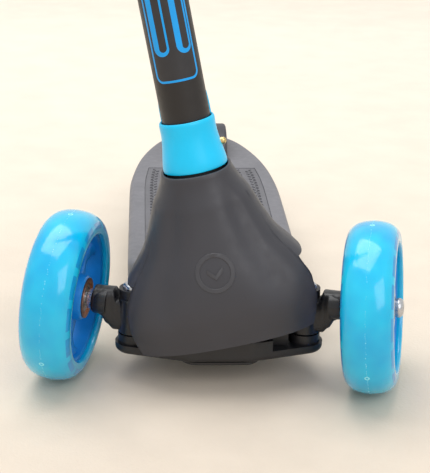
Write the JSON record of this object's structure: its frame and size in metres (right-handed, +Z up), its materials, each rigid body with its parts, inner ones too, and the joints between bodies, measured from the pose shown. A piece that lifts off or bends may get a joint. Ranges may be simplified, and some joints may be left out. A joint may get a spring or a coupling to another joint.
{
  "type": "kick scooter",
  "caption": "Child's three-wheel kick scooter: lean-to-steer T-bar in a moulded nose cover, wide front wheels, ribbed deck and sprung rear fender brake.",
  "frame": {"origin": "on the standing face of the deck, on its centre line, where the deck's straight sides end; 60 mm above the floor", "axes": "+Z up, +X to the scooter's left, -Y forward"},
  "size_m": [0.3773, 0.5002, 0.677],
  "materials": {
    "deck_plastic": "fine moulded grain",
    "grip_rubber": "soft moulded tread",
    "black_plastic": "satin glass-filled nylon",
    "cover_plastic": "fine moulded grain",
    "badge_plastic": "satin",
    "cyan_plastic": "polished mould finish",
    "black_metal": "satin powder coat",
    "zinc_steel": "zinc plated",
    "brass": "turned",
    "copper": "enamelled winding",
    "nylon": "natural nylon",
    "stop_rubber": "moulded",
    "grip_black": "moulded ribs",
    "tyre_clear": "glossy translucent polyurethane",
    "core_blue": "glossy translucent",
    "lamp_clear": "clear moulded",
    "rear_tyre_clear": "glossy translucent polyurethane"
  },
  "bodies": {
    "root": {"deck_shell": "deck_plastic", "grip_mat": "grip_rubber", "front_base": "black_plastic", "deck_screws": "zinc_steel", "under_cover": "black_plastic", "under_cover_screws": "zinc_steel", "kingpin_bolts": "zinc_steel", "kingpin_nuts": "zinc_steel", "lean_bolt": "zinc_steel", "lean_nut": "zinc_steel", "lean_stops": "stop_rubber", "rear_axle": "zinc_steel", "rear_axle_nut": "zinc_steel", "rear_spacers": "zinc_steel", "brake_pin": "zinc_steel", "brake_spring": "zinc_steel"},
    "steering_head": {"steering_head": "black_plastic", "lean_bushes": "nylon", "nose_cover": "cover_plastic", "cover_screws": "zinc_steel", "cover_badge": "badge_plastic", "collar": "cyan_plastic", "lower_tube": "black_metal", "button_spring": "zinc_steel", "clamp_band": "cyan_plastic", "clamp_bolt": "zinc_steel", "clamp_nut": "zinc_steel"},
    "handlebar": {"upper_tube": "black_metal", "tee_joint": "cyan_plastic", "crossbar": "black_metal", "grip_left": "grip_black", "grip_right": "grip_black", "bar_plugs": "cyan_plastic"},
    "snap_button": {"snap_button": "brass"},
    "clamp_lever": {"clamp_lever": "black_plastic"},
    "tie_bar": {"tie_bar": "black_plastic", "tie_pins": "zinc_steel"},
    "rear_wheel": {"rear_tyre": "rear_tyre_clear", "rear_hub": "core_blue", "rear_bearings": "zinc_steel"},
    "brake": {"brake_fender": "cover_plastic"},
    "knuckle_left": {"knuckle_left": "black_plastic", "axle_bolt_left": "zinc_steel", "axle_washers_left": "zinc_steel"},
    "wheel_left": {"wheel_tyre_left": "tyre_clear", "wheel_core_left": "core_blue", "wheel_lights_left": "lamp_clear", "wheel_bearings_left": "zinc_steel", "dynamo_ring_left": "copper"},
    "knuckle_right": {"knuckle_right": "black_plastic", "axle_bolt_right": "zinc_steel", "axle_washers_right": "zinc_steel"},
    "wheel_right": {"wheel_tyre_right": "tyre_clear", "wheel_core_right": "core_blue", "wheel_lights_right": "lamp_clear", "wheel_bearings_right": "zinc_steel", "dynamo_ring_right": "copper"}
  },
  "joints": [
    {"name": "lean", "type": "hinge", "parent": "root", "child": "steering_head", "pos_m": [0, -0.222, 0.004], "axis": [0, 1, 0], "range_deg": [0, 23]},
    {"name": "bar_height", "type": "slide", "parent": "steering_head", "child": "handlebar", "axis": [-0.1989, 0.0698, 0.9775], "range_m": [-0.04, 0.06]},
    {"name": "button_press", "type": "slide", "parent": "steering_head", "child": "snap_button", "axis": [-0.9799, 0, -0.1994], "range_m": [0, 0.004], "stiffness_N_per_m": 600},
    {"name": "clamp_open", "type": "hinge", "parent": "steering_head", "child": "clamp_lever", "pos_m": [-0.05262, -0.17368, 0.32536], "axis": [-0.1989, 0.0698, 0.9775], "range_deg": [0, 100]},
    {"name": "tie_slide", "type": "slide", "parent": "root", "child": "tie_bar", "axis": [1, 0, 0], "range_m": [-0.0098, 0]},
    {"name": "rear_spin", "type": "hinge", "parent": "root", "child": "rear_wheel", "pos_m": [0, 0.137, -0.022], "axis": [1, 0, 0], "continuous": true},
    {"name": "brake_press", "type": "hinge", "parent": "root", "child": "brake", "pos_m": [0, 0.094, -0.0075], "axis": [-1, 0, 0], "range_deg": [0, 3], "stiffness_Nm_per_rad": 3},
    {"name": "steer_left", "type": "hinge", "parent": "root", "child": "knuckle_left", "pos_m": [0.06, -0.231, -0.011], "axis": [0, 0, 1], "range_deg": [0, 28.1]},
    {"name": "spin_left", "type": "hinge", "parent": "knuckle_left", "child": "wheel_left", "pos_m": [0.10512, -0.24637, 0], "axis": [0.9679, -0.2413, 0.0698], "continuous": true},
    {"name": "steer_right", "type": "hinge", "parent": "root", "child": "knuckle_right", "pos_m": [-0.06, -0.231, -0.011], "axis": [0, 0, 1], "range_deg": [0, 28.1]},
    {"name": "spin_right", "type": "hinge", "parent": "knuckle_right", "child": "wheel_right", "pos_m": [-0.10706, -0.22339, 0], "axis": [0.9679, -0.2413, -0.0698], "continuous": true}
  ],
  "couplings": [
    {"joint": "tie_slide", "follows": "lean", "m_per_rad": -0.024348},
    {"joint": "steer_left", "follows": "lean", "ratio": 1.2174},
    {"joint": "steer_right", "follows": "lean", "ratio": 1.2174}
  ]
}
